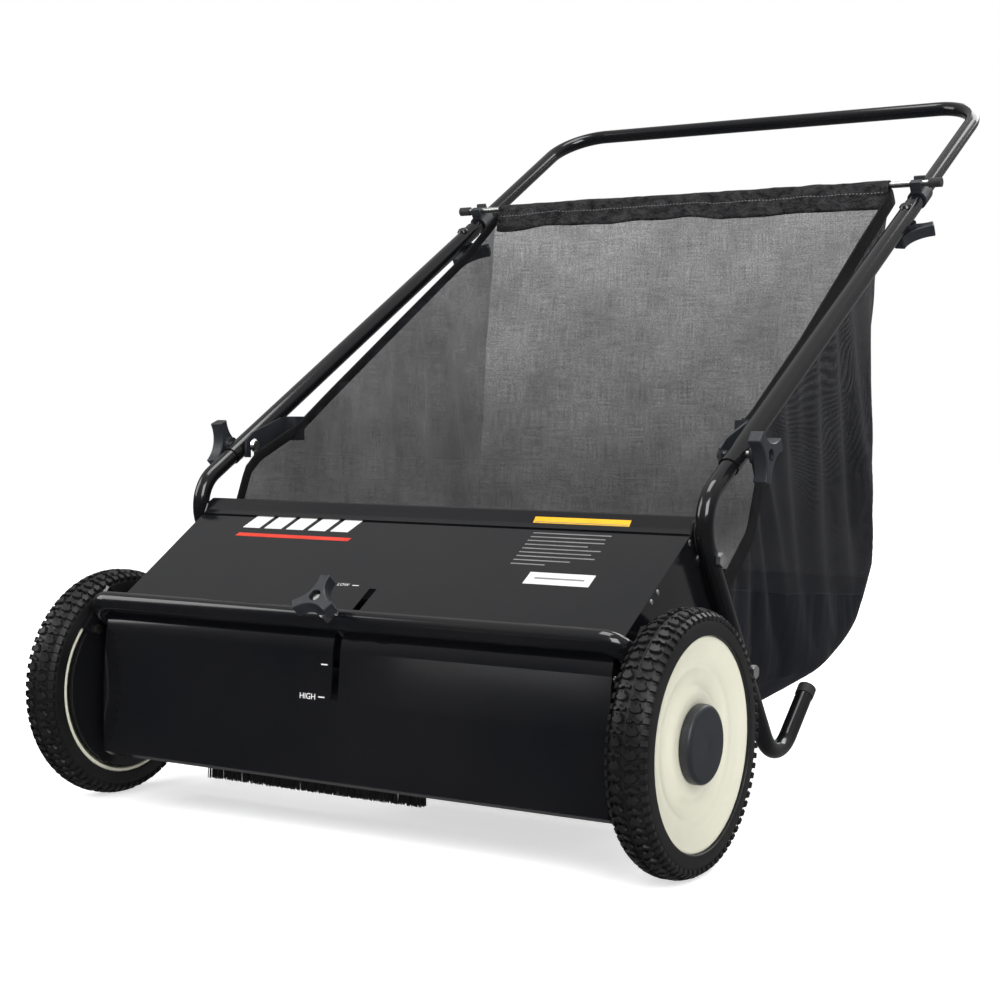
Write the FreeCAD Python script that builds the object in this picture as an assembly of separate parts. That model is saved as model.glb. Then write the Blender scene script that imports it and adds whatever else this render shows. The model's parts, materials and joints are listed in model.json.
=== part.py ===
"""Push lawn sweeper: a wheeled sheet-metal deck with a geared brush, a folding-tube handle and a mesh bag.

Working frame: X runs across the machine, +X being the operator's left. The machine drives towards -Y.
+Z is up from the ground. Lengths are millimetres. While the parts are made, y = 0 is the wheel axle; each
part is moved back by MID_Y as it is written, so that the origin is on the ground in the middle of the machine.
"""
import FreeCAD
import Part
import math
import os

V = FreeCAD.Vector

# ---- driving dimensions -------------------------------------------------------------------------------
WHEEL_R = 127.0                    # 10 inch wheels
TYRE_INNER_X = 339.0
TYRE_OUTER_X = 380.5
RIM_R = 102.0

BRUSH_Y = 44.0                     # brush axis, behind the wheel axle and level with it
BRUSH_R = 104.0
SHAFT_R = 6.0
RUN = 0.05                         # radial clearance of a running fit

MODULE = 2.0
RING_TEETH = 58
PINION_TEETH = 14
PRESSURE = math.radians(25)
BACKLASH = 0.2

PLATE_X = 313.0                    # inner faces of the deck's side plates
PLATE_T = 2.0
SHEET_T = 1.6

TUBE_X = 326.0                     # handle tubes run in these two planes
TUBE_OD = 19.0
SLEEVE_OD = 22.0
TUBE_WALL = 1.5
HANDLE_ANGLE = math.radians(30)
KNEE = (185.0, 391.0)              # lower clamp bolt, where the middle tube sleeves the lower one
UPPER_AT = 566.0                   # upper clamp bolt, measured along the handle from the knee
TOP_AT = 911.0                     # grip bar
GRIP_BEND = 65.0
PLATE_BOLTS = ((121.0, 288.0), (203.0, 166.0))

BAIL_ORBIT = 149.0                 # height bail, measured from the brush axis
BAIL_ANGLE = math.radians(42)
BAIL_R = 11.0
BAIL_BEND = 20.0
SLOT_FROM = math.radians(9)
SLOT_TO = math.radians(71)
BOLT_R = 4.0

ROD_AT = UPPER_AT + 54.0           # bag rod, across the tops of the handle tubes
ROD_OVER = 17.0
ROD_R = 4.0
ROD_END_X = 357.0
BAG_X = 294.0
BAG_T = 2.5

SIDES = (("left", 1), ("right", -1))
MID_Y = (KNEE[0] + TOP_AT * math.cos(HANDLE_ANGLE) + TUBE_OD / 2 - WHEEL_R) / 2

AXLE = (0.0, WHEEL_R)
BRUSH = (BRUSH_Y, WHEEL_R)


# ---- helpers ------------------------------------------------------------------------------------------
def save(name, shape):
    """Writes one node, moved so that the origin is mid-machine on the ground."""
    moved = shape.copy()
    moved.translate(V(0, -MID_Y, 0))
    moved.exportStep("parts/" + name + ".step")


def save_pair(name, shape):
    """Writes a left part as built, and its mirror image for the right."""
    save(name + "_left", shape)
    save(name + "_right", mirrored(shape))


def mirrored(shape):
    return shape.mirror(V(0, 0, 0), V(1, 0, 0))


def at(x, yz):
    return V(x, yz[0], yz[1])


def along_handle(distance, over=0.0):
    """(y, z) of a point along the handle from the knee, and square to it by over."""
    c, s = math.cos(HANDLE_ANGLE), math.sin(HANDLE_ANGLE)
    return KNEE[0] + distance * c - over * s, KNEE[1] + distance * s + over * c


def round_bar(x0, x1, yz, r):
    """A cylinder along X."""
    return Part.makeCylinder(r, x1 - x0, at(x0, yz), V(1, 0, 0))


def ring_bar(x0, x1, yz, r_out, r_in):
    return round_bar(x0, x1, yz, r_out).cut(round_bar(x0 - 1, x1 + 1, yz, r_in))


def rounded_edges(points, radii):
    """Edges of a polyline whose inner corners are rounded by tangent arcs."""
    edges = []
    here = points[0]
    for corner, after, r in zip(points[1:-1], points[2:], radii):
        to_corner = (corner - here).normalize()
        away = (after - corner).normalize()
        turn = to_corner.getAngle(away)
        if r <= 0 or turn < 1e-6:
            edges.append(Part.LineSegment(here, corner).toShape())
            here = corner
            continue
        run = r * math.tan(turn / 2)
        start = corner - to_corner * run
        end = corner + away * run
        inwards = (away - to_corner).normalize()
        middle = corner + inwards * (r / math.cos(turn / 2) - r)
        edges.append(Part.LineSegment(here, start).toShape())
        edges.append(Part.Arc(start, middle, end).toShape())
        here = end
    edges.append(Part.LineSegment(here, points[-1]).toShape())
    return edges


def swept(points, radii, r):
    """A round solid along a rounded polyline."""
    path = Part.Wire(rounded_edges(points, radii))
    circle = Part.makeCircle(r, points[0], points[1] - points[0])
    return path.makePipeShell([Part.Wire(circle)], True, True)


def tube(points, radii, od, wall):
    return swept(points, radii, od / 2).cut(swept(points, radii, od / 2 - wall))


def offset_outline(points, t):
    """The polyline moved t to its left, with mitred corners."""
    out = []
    for i, p in enumerate(points):
        normals = []
        if i > 0:
            normals.append(left_normal(points[i - 1], p))
        if i < len(points) - 1:
            normals.append(left_normal(p, points[i + 1]))
        n = (sum(q[0] for q in normals), sum(q[1] for q in normals))
        size = n[0] * normals[0][0] + n[1] * normals[0][1]
        out.append((p[0] + n[0] * t / size, p[1] + n[1] * t / size))
    return out


def left_normal(a, b):
    d = math.hypot(b[0] - a[0], b[1] - a[1])
    return -(b[1] - a[1]) / d, (b[0] - a[0]) / d


def folded_sheet(outline, radii, t, x0, x1):
    """A bent sheet whose profile follows outline in the YZ plane, t thick to its left, from x0 to x1."""
    turns = []
    for a, b, c in zip(outline, outline[1:], outline[2:]):
        turns.append((b[0] - a[0]) * (c[1] - b[1]) - (b[1] - a[1]) * (c[0] - b[0]))
    inner_radii = [max(r - t, 0.2) if turn > 0 else r + t for r, turn in zip(radii, turns)]
    outer = [at(x0, p) for p in outline]
    inner = [at(x0, p) for p in offset_outline(outline, t)]
    edges = rounded_edges(outer, radii)
    edges.append(Part.LineSegment(outer[-1], inner[-1]).toShape())
    edges += rounded_edges(inner[::-1], inner_radii[::-1])
    edges.append(Part.LineSegment(inner[0], outer[0]).toShape())
    return Part.Face(Part.Wire(Part.sortEdges(edges)[0])).extrude(V(x1 - x0, 0, 0))


def flat_plate(outline, x0, x1):
    """A polygon in the YZ plane, from x0 to x1."""
    points = [at(x0, p) for p in outline]
    return Part.Face(Part.makePolygon(points + points[:1])).extrude(V(x1 - x0, 0, 0))


def lathe(profile, yz):
    """A solid of revolution about the X axis through yz, from (x, radius) points."""
    points = [V(x, yz[0], yz[1] + r) for x, r in profile]
    face = Part.Face(Part.makePolygon(points + points[:1]))
    return face.revolve(at(0, yz), V(1, 0, 0), 360)


def fused(shapes):
    whole = shapes[0]
    for s in shapes[1:]:
        whole = whole.fuse(s)
    return whole.removeSplitter()


def polar(yz, r, angle):
    """A point r from yz. Angle 0 is straight ahead (-Y) and 90 degrees is up."""
    return yz[0] - r * math.cos(angle), yz[1] + r * math.sin(angle)


def carriage_bolt(base, direction, length, head_r=8.0, head_t=3.0):
    """A bolt from base along direction, with a low domed head behind base."""
    d = V(*direction).normalize()
    shank = Part.makeCylinder(BOLT_R, length, base, d)
    head = Part.makeCone(head_r * 0.7, head_r, head_t, base - d * head_t, d)
    return shank.fuse(head).removeSplitter()


def hex_nut(base, direction, across, height, bore_r):
    d = V(*direction).normalize()
    side = d.cross(V(0.3, 0.5, 0.8)).normalize()
    other = d.cross(side)
    r = across / 2 / math.cos(math.pi / 6)
    corners = []
    for i in range(6):
        a = math.radians(60 * i)
        corners.append(base + side * (r * math.cos(a)) + other * (r * math.sin(a)))
    solid = Part.Face(Part.makePolygon(corners + corners[:1])).extrude(d * height)
    return solid.cut(Part.makeCylinder(bore_r, height + 2, base - d, d))


# ---- deck ---------------------------------------------------------------------------------------------
DECK_OUTLINE = [(101.0, 314.0), (-60.0, 213.0), (-67.0, 140.0), (-68.0, 62.0), (-58.0, 56.0)]
DECK_BENDS = [40.0, 90.0, 4.0]
PLATE_REST = [(150.0, 66.0), (220.0, 140.0), (224.0, 176.0), (140.0, 300.0), (117.0, 331.0), (106.0, 325.0)]
RAIL = [(99.5, 313.0), (105.0, 317.2), (117.0, 331.0), (124.0, 324.0)]
TIE_BAR = (172.0, 112.0)
TIE_BAR_R = 6.0
TIE_SCREW_R = 3.0
BUSH_R = 12.0
RIVET_R = 3.2
RIVET_T = 0.9


def slot_cutter():
    """The height slot, as a wedge of the bail's swing through the deck."""
    half = BOLT_R + 0.6
    arc = [polar(BRUSH, 160, SLOT_FROM + (SLOT_TO - SLOT_FROM) * i / 8) for i in range(9)]
    return flat_plate([BRUSH] + arc, -half, half)


def make_deck():
    shell = folded_sheet(DECK_OUTLINE, DECK_BENDS, SHEET_T, -PLATE_X, PLATE_X)
    inside = round_bar(-20, 20, BRUSH, BRUSH_R - 2)
    save("deck_shell", shell.cut(slot_cutter().cut(inside)))
    rail = folded_sheet(RAIL, [3.0, 3.0], SHEET_T, -PLATE_X, PLATE_X)
    save("top_rail", rail.cut(shell))
    edges = rounded_edges([at(PLATE_X, p) for p in DECK_OUTLINE], DECK_BENDS)
    rest = [at(PLATE_X, p) for p in [DECK_OUTLINE[-1]] + PLATE_REST + [DECK_OUTLINE[0]]]
    edges += [Part.LineSegment(a, b).toShape() for a, b in zip(rest, rest[1:])]
    plate = Part.Face(Part.Wire(Part.sortEdges(edges)[0])).extrude(V(PLATE_T, 0, 0))
    plate = plate.cut(round_bar(PLATE_X - 1, PLATE_X + PLATE_T + 1, BRUSH, BUSH_R))
    for bolt in PLATE_BOLTS:
        plate = plate.cut(round_bar(PLATE_X - 1, PLATE_X + PLATE_T + 1, bolt, BOLT_R))
    plate = plate.cut(round_bar(PLATE_X - 1, PLATE_X + PLATE_T + 1, TIE_BAR, TIE_SCREW_R))
    save_pair("side_plate", plate)
    bar = round_bar(-PLATE_X, PLATE_X, TIE_BAR, TIE_BAR_R)
    save("rear_tie_bar", bar)
    screws = []
    for side in (1, -1):
        screw = round_bar(PLATE_X, PLATE_X + PLATE_T, TIE_BAR, TIE_SCREW_R)
        head = round_bar(PLATE_X + PLATE_T, PLATE_X + PLATE_T + 4, TIE_BAR, 8.0)
        screws.append(scaled_side(screw.fuse(head).removeSplitter(), side))
    save("tie_bar_screws", Part.makeCompound(screws))
    save("deck_rivets", Part.makeCompound(rivets()))


def scaled_side(shape, side):
    return shape if side > 0 else mirrored(shape)


def rivets():
    """Low rivet heads on the outer face of each side plate, under the edges of the folded deck."""
    spots = [(98.0, 306.0), (29.0, 262.5), (16.0, 254.5), (-56.0, 190.0), (-60.0, 72.0)]
    heads = []
    for side in (1, -1):
        for spot in spots:
            head = Part.makeCone(RIVET_R, RIVET_R - 1.2, RIVET_T, at(PLATE_X + PLATE_T, spot), V(1, 0, 0))
            heads.append(scaled_side(head, side))
    return heads


def make_bushes():
    """Flanged bearing bushes. The shaft runs inside them and the arm plates swing on them."""
    profile = [(PLATE_X - 4, SHAFT_R + RUN), (PLATE_X - 4, BUSH_R + 6), (PLATE_X, BUSH_R + 6),
               (PLATE_X, BUSH_R), (ARM_X + ARM_T + 0.8, BUSH_R), (ARM_X + ARM_T + 0.8, SHAFT_R + RUN)]
    save_pair("brush_bush", lathe(profile, BRUSH))


# ---- handle -------------------------------------------------------------------------------------------
LOWER_BEND_R = 45.0
FOOT_END = (371.0, 124.5)
FOOT_VERTEX = (282.0, 48.0)
SLEEVE_OVERLAP = 45.0


def knee_vertex():
    """Where the line through the two plate bolts meets the handle's line."""
    (y1, z1), (y2, z2) = PLATE_BOLTS
    lean = (y2 - y1) / (z2 - z1)
    slope = math.tan(HANDLE_ANGLE)
    y = (y1 + lean * (KNEE[1] - slope * KNEE[0] - z1)) / (1 - lean * slope)
    return y, KNEE[1] + slope * (y - KNEE[0])


def cross_holes(shape, yz):
    return shape.cut(round_bar(TUBE_X - 20, TUBE_X + 20, yz, BOLT_R))


def make_handle():
    upper_end = along_handle(SLEEVE_OVERLAP)
    lower = tube([at(TUBE_X, p) for p in (upper_end, knee_vertex(), FOOT_VERTEX, FOOT_END)],
                 [LOWER_BEND_R, LOWER_BEND_R], TUBE_OD, TUBE_WALL)
    for bolt in (KNEE,) + PLATE_BOLTS:
        lower = cross_holes(lower, bolt)
    save_pair("lower_handle", lower)

    foot = V(0, FOOT_END[0] - FOOT_VERTEX[0], FOOT_END[1] - FOOT_VERTEX[1]).normalize()
    start = at(TUBE_X, FOOT_END) - foot * 10
    cap = Part.makeCylinder(TUBE_OD / 2 + 0.8, 12, start, foot)
    cap = cap.cut(Part.makeCylinder(TUBE_OD / 2, 10, start, foot))
    save_pair("foot_cap", cap)

    ends = [along_handle(-25), along_handle(UPPER_AT + 25)]
    middle = tube([at(TUBE_X, p) for p in ends], [], SLEEVE_OD, (SLEEVE_OD - TUBE_OD) / 2)
    middle = cross_holes(middle, KNEE)
    middle = middle.cut(upper_bolt_hole())
    save_pair("middle_tube", middle)

    start = along_handle(UPPER_AT - SLEEVE_OVERLAP)
    corner = along_handle(TOP_AT)
    route = [at(TUBE_X, start), at(TUBE_X, corner), at(-TUBE_X, corner), at(-TUBE_X, start)]
    loop = tube(route, [GRIP_BEND, GRIP_BEND], TUBE_OD, TUBE_WALL)
    for side in (1, -1):
        loop = loop.cut(scaled_side(upper_bolt_hole(), side))
    save("upper_handle", loop)


def handle_normal():
    return V(0, -math.sin(HANDLE_ANGLE), math.cos(HANDLE_ANGLE))


def upper_bolt_hole():
    n = handle_normal()
    return Part.makeCylinder(BOLT_R, 60, at(TUBE_X, along_handle(UPPER_AT)) - n * 30, n)


def make_handle_bolts():
    """Carriage bolts of the four handle knobs, and the bolts and nuts that hold the tubes to the plates."""
    lower = carriage_bolt(at(TUBE_X - SLEEVE_OD / 2 - 7, KNEE), (1, 0, 0), KNOB_FACE_X - TUBE_X + 14)
    save("lower_knob_bolts", Part.makeCompound([lower, mirrored(lower)]))
    n = handle_normal()
    head = at(TUBE_X, along_handle(UPPER_AT)) + n * (SLEEVE_OD / 2)
    upper = carriage_bolt(head, (0, -n.y, -n.z), SLEEVE_OD + UPPER_KNOB_GAP + KNOB_NECK + KNOB_T - 4)
    save("upper_knob_bolts", Part.makeCompound([upper, mirrored(upper)]))
    bolts = []
    nuts = []
    for spot in PLATE_BOLTS:
        outside = TUBE_X + TUBE_OD / 2
        bolt = round_bar(PLATE_X - 9, outside, spot, BOLT_R)
        head = hex_nut(at(outside, spot), (1, 0, 0), 13.0, 5.0, 0.5)
        spacer = ring_bar(PLATE_X + PLATE_T, TUBE_X - TUBE_OD / 2, spot, 7.0, BOLT_R)
        bolt = fused([bolt, head, round_bar(outside, outside + 5, spot, 1.0), spacer])
        nut = hex_nut(at(PLATE_X, spot), (-1, 0, 0), 13.0, 6.5, BOLT_R)
        bolts += [bolt, mirrored(bolt)]
        nuts += [nut, mirrored(nut)]
    save("plate_bolts", Part.makeCompound(bolts))
    save("plate_nuts", Part.makeCompound(nuts))


# ---- star knobs ---------------------------------------------------------------------------------------
KNOB_R = 30.0
KNOB_ARM = 15.0
KNOB_WAIST = 12.5
KNOB_T = 15.0
KNOB_NECK = 6.0
KNOB_NECK_R = 9.5
HEIGHT_KNOB_SIZE = 0.85
KNOB_FACE_X = TUBE_X + SLEEVE_OD / 2 + 5 + KNOB_NECK + KNOB_T
UPPER_KNOB_GAP = 0.6


def star_knob(size):
    """A three-armed knob about +Z. Its neck starts at z = 0 and its outer face has a round recess."""
    reach, arm, hollow = KNOB_R * size, KNOB_ARM * size, KNOB_WAIST * size
    edges = []
    for i in range(3):
        a = math.radians(120 * i + 90)
        ahead = V(math.cos(a), math.sin(a), 0)
        across = V(-math.sin(a), math.cos(a), 0)
        first = ahead * reach - across * (arm / 2)
        second = ahead * reach + across * (arm / 2)
        b = a + math.radians(60)
        waist = V(math.cos(b), math.sin(b), 0) * hollow
        c = a + math.radians(120)
        onward = V(math.cos(c), math.sin(c), 0) * reach
        onward = onward - V(-math.sin(c), math.cos(c), 0) * (arm / 2)
        edges.append(Part.LineSegment(first, second).toShape())
        edges.append(Part.Arc(second, waist, onward).toShape())
    star = Part.Face(Part.Wire(edges)).extrude(V(0, 0, KNOB_T))
    star = star.makeFillet(1.6, star.Edges)
    star.translate(V(0, 0, KNOB_NECK))
    neck = Part.makeCylinder(KNOB_NECK_R, KNOB_NECK + 3)
    top = KNOB_NECK + KNOB_T
    knob = star.fuse(neck).cut(Part.makeCylinder(6.5, 5, V(0, 0, top - 5)))
    return knob.cut(Part.makeCylinder(BOLT_R + RUN, top + 2, V(0, 0, -1))).removeSplitter()


def placed_knob(base, direction, spin, size=1.0):
    """A star knob with its neck on base, its face along direction, turned by spin degrees."""
    knob = star_knob(size)
    knob.Placement = FreeCAD.Placement(base, FreeCAD.Rotation(V(0, 0, 1), direction).multiply(
        FreeCAD.Rotation(V(0, 0, 1), spin)))
    return knob


def make_knobs():
    for name, side in SIDES:
        base = at(side * (TUBE_X + SLEEVE_OD / 2 + 5), KNEE)
        save("lower_knob_" + name, placed_knob(base, V(side, 0, 0), 20 if side > 0 else 10))
        n = handle_normal()
        base = at(side * TUBE_X, along_handle(UPPER_AT)) - n * (SLEEVE_OD / 2 + UPPER_KNOB_GAP)
        save("upper_knob_" + name, placed_knob(base, n * -1, 10))


# ---- height bail, arm plates and axles ----------------------------------------------------------------
ARM_X = 335.5
ARM_T = 2.5
ARM_R = 94.0
LEG_X = PLATE_X + PLATE_T + 1 + BAIL_R
TAB_T = 3.0
TAB_BOLTS = (math.radians(51), math.radians(33))
TAB_ORBIT = 122.0
AXLE_R = 8.0
HUB_FACE_X = 371.0
CLAMP_KNOB_AT = BAIL_ORBIT + BAIL_R + 9
CLAMP_HEAD_AT = 106.5


def tab_outline(grow):
    """A short strip round both tab bolts, square to the bail's radius."""
    mid = sum(TAB_BOLTS) / 2
    half = TAB_ORBIT * (TAB_BOLTS[0] - TAB_BOLTS[1]) / 2 + 9 + grow
    radial = (-math.cos(mid), math.sin(mid))
    across = (math.sin(mid), math.cos(mid))
    centre = polar(BRUSH, TAB_ORBIT, mid)
    corners = []
    for out, side in ((-10 - grow, -half), (14, -half), (14, half), (-10 - grow, half)):
        corners.append((centre[0] + radial[0] * out + across[0] * side,
                        centre[1] + radial[1] * out + across[1] * side))
    return corners


def radial_direction():
    return V(0, -math.cos(BAIL_ANGLE), math.sin(BAIL_ANGLE))


def make_bail():
    bar = polar(BRUSH, BAIL_ORBIT, BAIL_ANGLE)
    leg = polar(BRUSH, BAIL_ORBIT - 31, BAIL_ANGLE)
    points = [at(LEG_X, leg), at(LEG_X, bar), at(-LEG_X, bar), at(-LEG_X, leg)]
    bail = tube(points, [BAIL_BEND, BAIL_BEND], 2 * BAIL_R, TUBE_WALL)
    for side in (1, -1):
        x0 = ARM_X - TAB_T
        flat = ring_bar(x0, x0 + 10, BRUSH, BAIL_ORBIT - 8, BAIL_ORBIT - 49)
        tab = flat_plate(tab_outline(0), x0, ARM_X)
        for angle in TAB_BOLTS:
            tab = tab.cut(round_bar(x0 - 1, ARM_X + 1, polar(BRUSH, TAB_ORBIT, angle), 3.0))
        bail = bail.cut(scaled_side(flat, side)).fuse(scaled_side(tab, side))
    d = radial_direction()
    through = Part.makeCylinder(BOLT_R, 40, at(0, bar) - d * 20, d)
    save("height_bail", bail.cut(through).removeSplitter())


def make_arm_plates():
    """Round inner wheel covers. Each hangs on the brush bush and carries its wheel's axle."""
    rim = [(ARM_X, 0.0), (ARM_X, ARM_R), (ARM_X + 7, ARM_R), (ARM_X + 7, ARM_R - ARM_T),
           (ARM_X + ARM_T, ARM_R - ARM_T), (ARM_X + ARM_T, 0.0)]
    cover = lathe(rim, AXLE)
    ear = flat_plate(tab_outline(1), ARM_X, ARM_X + ARM_T)
    cover = cover.fuse(ear)
    cover = cover.cut(round_bar(ARM_X - 1, ARM_X + 20, BRUSH, BUSH_R + RUN))
    cover = cover.cut(round_bar(ARM_X - 1, ARM_X + 20, AXLE, AXLE_R))
    for angle in TAB_BOLTS:
        cover = cover.cut(round_bar(ARM_X - 1, ARM_X + ARM_T + 1, polar(BRUSH, TAB_ORBIT, angle), 3.0))
    save_pair("arm_plate", cover.removeSplitter())
    bolts = []
    for angle in TAB_BOLTS:
        spot = polar(BRUSH, TAB_ORBIT, angle)
        shank = round_bar(ARM_X - TAB_T, ARM_X + ARM_T, spot, 3.0)
        head = hex_nut(at(ARM_X - TAB_T, spot), (-1, 0, 0), 10.0, 4.0, 0.5)
        core = round_bar(ARM_X - TAB_T - 4, ARM_X - TAB_T, spot, 1.0)
        bolt = fused([shank, head, core])
        bolts += [bolt, mirrored(bolt)]
    save("bail_bolts", Part.makeCompound(bolts))


def make_axles():
    profile = [(ARM_X - 8, 0.0), (ARM_X - 8, 11.0), (ARM_X, 11.0), (ARM_X, AXLE_R),
               (HUB_FACE_X + 4, AXLE_R), (HUB_FACE_X + 5, AXLE_R - 1), (HUB_FACE_X + 5, 0.0)]
    save_pair("axle", lathe(profile, AXLE))
    nut = hex_nut(at(ARM_X + ARM_T, AXLE), (1, 0, 0), 24.0, 6.0, AXLE_R)
    save("axle_nuts", Part.makeCompound([nut, mirrored(nut)]))
    washer = ring_bar(HUB_FACE_X + 0.5, HUB_FACE_X + 2.5, AXLE, 13.0, AXLE_R)
    save("axle_washers", Part.makeCompound([washer, mirrored(washer)]))


def make_clamp():
    """The bolt, saddle and knob that hold the bail at a height along the deck's slot."""
    d = radial_direction()
    base = at(0, BRUSH) + d * (CLAMP_HEAD_AT + 2)
    length = CLAMP_KNOB_AT + KNOB_NECK + KNOB_T - 4 - CLAMP_HEAD_AT - 2
    bolt = carriage_bolt(base, d, length, 7.0, 2.0)
    save("clamp_bolt", bolt)
    bar = polar(BRUSH, BAIL_ORBIT, BAIL_ANGLE)
    block = Part.makeCylinder(9.0, BAIL_R + 4, at(0, bar), d)
    block = block.cut(round_bar(-20, 20, bar, BAIL_R))
    save("clamp_saddle", block.cut(Part.makeCylinder(BOLT_R, 60, at(0, bar), d)))
    save("height_knob", placed_knob(at(0, BRUSH) + d * CLAMP_KNOB_AT, d, 0, HEIGHT_KNOB_SIZE))


# ---- wheels -------------------------------------------------------------------------------------------
def make_wheels():
    mid = (TYRE_INNER_X + TYRE_OUTER_X) / 2
    half = (TYRE_OUTER_X - TYRE_INNER_X) / 2
    tread = [(mid - half, RIM_R + 2), (mid - half, 117.0), (mid - half + 2, 121.5), (mid - half + 7, 124.8),
             (mid - 6, WHEEL_R), (mid + 6, WHEEL_R), (mid + half - 7, 124.8), (mid + half - 2, 121.5),
             (mid + half, 117.0), (mid + half, RIM_R + 2), (mid + half - 3, RIM_R), (mid + half - 6, RIM_R),
             (mid + half - 6, RIM_R - 2), (mid - half + 4.5, RIM_R - 2), (mid - half + 4.5, RIM_R),
             (mid - half + 3, RIM_R)]
    save_pair("tyre", lathe(tread, AXLE))
    # rim, lips, dished web with two steps, and hub sleeve
    disc = [(343.5, RIM_R - 2), (343.5, RIM_R - 0.3), (341.0, RIM_R - 0.3), (339.5, RIM_R - 4), (342.0, RIM_R - 5.5),
            (366.0, RIM_R - 5.5), (367.0, 90.0), (364.0, 80.0), (364.0, 62.0), (366.0, 55.0), (366.0, 14.0),
            (350.0, 14.0), (350.0, AXLE_R + RUN), (HUB_FACE_X, AXLE_R + RUN), (HUB_FACE_X, 42.0),
            (369.0, 55.0), (367.0, 62.0), (367.0, 80.0), (370.0, 91.0), (376.4, 97.0), (377.0, RIM_R - 1),
            (376.0, RIM_R - 0.3), (374.5, RIM_R - 0.3), (374.5, RIM_R - 2)]
    save_pair("wheel_disc", lathe(disc, AXLE))
    cap = lathe([(HUB_FACE_X, 30.0), (HUB_FACE_X, 38.0), (381.0, 38.0), (383.0, 36.0), (383.0, 0.0),
                 (381.0, 0.0), (381.0, 30.0)], AXLE)
    save_pair("hub_cap", cap)


# ---- gears --------------------------------------------------------------------------------------------
GEAR_X0 = 348.0
GEAR_X1 = 358.0


def involute_gear(centre, teeth, tip, root, thicken, x0, x1):
    """A spur gear with a tooth pointing along +Y. thicken widens each tooth on the pitch circle."""
    pitch = MODULE * teeth / 2
    base = pitch * math.cos(PRESSURE)
    half_pitch_angle = math.pi / (2 * teeth) + thicken / (2 * pitch)
    involute_at_pitch = math.tan(PRESSURE) - PRESSURE
    low = max(base, root)
    flank = []
    for i in range(5):
        r = low + (tip - low) * i / 4
        pressure = math.acos(base / r)
        flank.append((r, half_pitch_angle + involute_at_pitch - (math.tan(pressure) - pressure)))
    outline = []
    for tooth in range(teeth):
        middle = 2 * math.pi * tooth / teeth
        start, end = flank[0][1], flank[-1][1]
        outline.append((root, middle - start))
        outline += [(r, middle - a) for r, a in flank[1 if low == root else 0:]]
        outline += [(r, middle + a) for r, a in flank[::-1][:None if low > root else -1]]
        outline.append((root, middle + start))
    points = [(centre[0] + r * math.cos(a), centre[1] + r * math.sin(a)) for r, a in outline]
    return flat_plate(points, x0, x1)


def make_gears():
    # the ring gear's spaces are the teeth of an outside gear of the same count, a backlash wider
    ring_pitch = MODULE * RING_TEETH / 2
    spaces = involute_gear(AXLE, RING_TEETH, ring_pitch + 1.25 * MODULE, ring_pitch - 0.8 * MODULE,
                           BACKLASH, GEAR_X0 - 1, GEAR_X1 + 1)
    ring = round_bar(GEAR_X0, 364.0, AXLE, 68.0)
    ring = ring.cut(spaces).cut(round_bar(GEAR_X1 - 1, 365.0, AXLE, 63.0))
    save_pair("ring_gear", ring)
    pinion_pitch = MODULE * PINION_TEETH / 2
    pinion = involute_gear(BRUSH, PINION_TEETH, pinion_pitch + 0.85 * MODULE, pinion_pitch - 1.25 * MODULE,
                           -BACKLASH, GEAR_X0, GEAR_X1)
    collar = ring_bar(GEAR_X0 - 7, GEAR_X0, BRUSH, 13.0, 10.0)
    pinion = pinion.fuse(collar).cut(round_bar(GEAR_X0 - 10, GEAR_X1 + 1, BRUSH, SHAFT_R + RUN))
    save_pair("pinion", pinion.removeSplitter())
    key = ratchet_key()
    save("ratchet_keys", Part.makeCompound([key, mirrored(key)]))


def ratchet_key():
    """A loose bar through the shaft that drives the pinion's collar one way."""
    return Part.makeBox(4, 18, 4, V(GEAR_X0 - 5.5, BRUSH[0] - 9, BRUSH[1] - 2))


# ---- brush --------------------------------------------------------------------------------------------
ROW_SPAN = 292.0
ROW_END = 258.0
CORE_R = 20.0
CORE_END = 270.0


def make_brush():
    end = GEAR_X1 + 4
    shaft = round_bar(-end, end, BRUSH, SHAFT_R)
    for side in (1, -1):
        groove = ring_bar(GEAR_X1 + 1, GEAR_X1 + 2.2, BRUSH, SHAFT_R + 1, SHAFT_R - 1)
        shaft = shaft.cut(scaled_side(groove, side))
        shaft = shaft.cut(scaled_side(ratchet_key(), side))
    save("brush_shaft", shaft)
    clip = ring_bar(GEAR_X1 + 1, GEAR_X1 + 2.2, BRUSH, 9.5, SHAFT_R - 1)
    clip = clip.cut(Part.makeBox(4, 10, 7, V(GEAR_X1, BRUSH[0], BRUSH[1] - 3.5)))
    save("shaft_clips", Part.makeCompound([clip, mirrored(clip)]))
    core = ring_bar(-CORE_END, CORE_END, BRUSH, CORE_R, SHAFT_R)
    for quarter in range(4):
        x0 = -ROW_END if quarter % 2 == 0 else ROW_END - ROW_SPAN
        rib = row_block(x0, quarter, CORE_R - 2, CORE_R + 12, 8.0)
        core = core.fuse(rib.cut(row_block(x0, quarter, CORE_R + 3, CORE_R + 13, 3.0)))
        save("bristle_row_%d" % (quarter + 1), row_block(x0, quarter, CORE_R + 3, BRUSH_R, 3.0))
    save("brush_core", core.removeSplitter())


def row_block(x0, quarter, r0, r1, half):
    """A straight bar along X, standing out from the brush axis in one of its four quarters."""
    block = Part.makeBox(ROW_SPAN, 2 * half, r1 - r0, V(x0, BRUSH[0] - half, BRUSH[1] - r1))
    block.rotate(at(0, BRUSH), V(1, 0, 0), 90 * quarter)
    return block


# ---- bag, rod and clips -------------------------------------------------------------------------------
BAG_BACK = [(711.0, 710.0), (680.0, 600.0), (672.0, 430.0), (664.0, 300.0), (664.0, 232.0), (615.0, 170.0),
            (500.0, 131.0), (330.0, 127.0), (160.0, 124.0)]
BAG_BACK_BENDS = [60.0, 200.0, 200.0, 40.0, 80.0, 200.0, 200.0]
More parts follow.
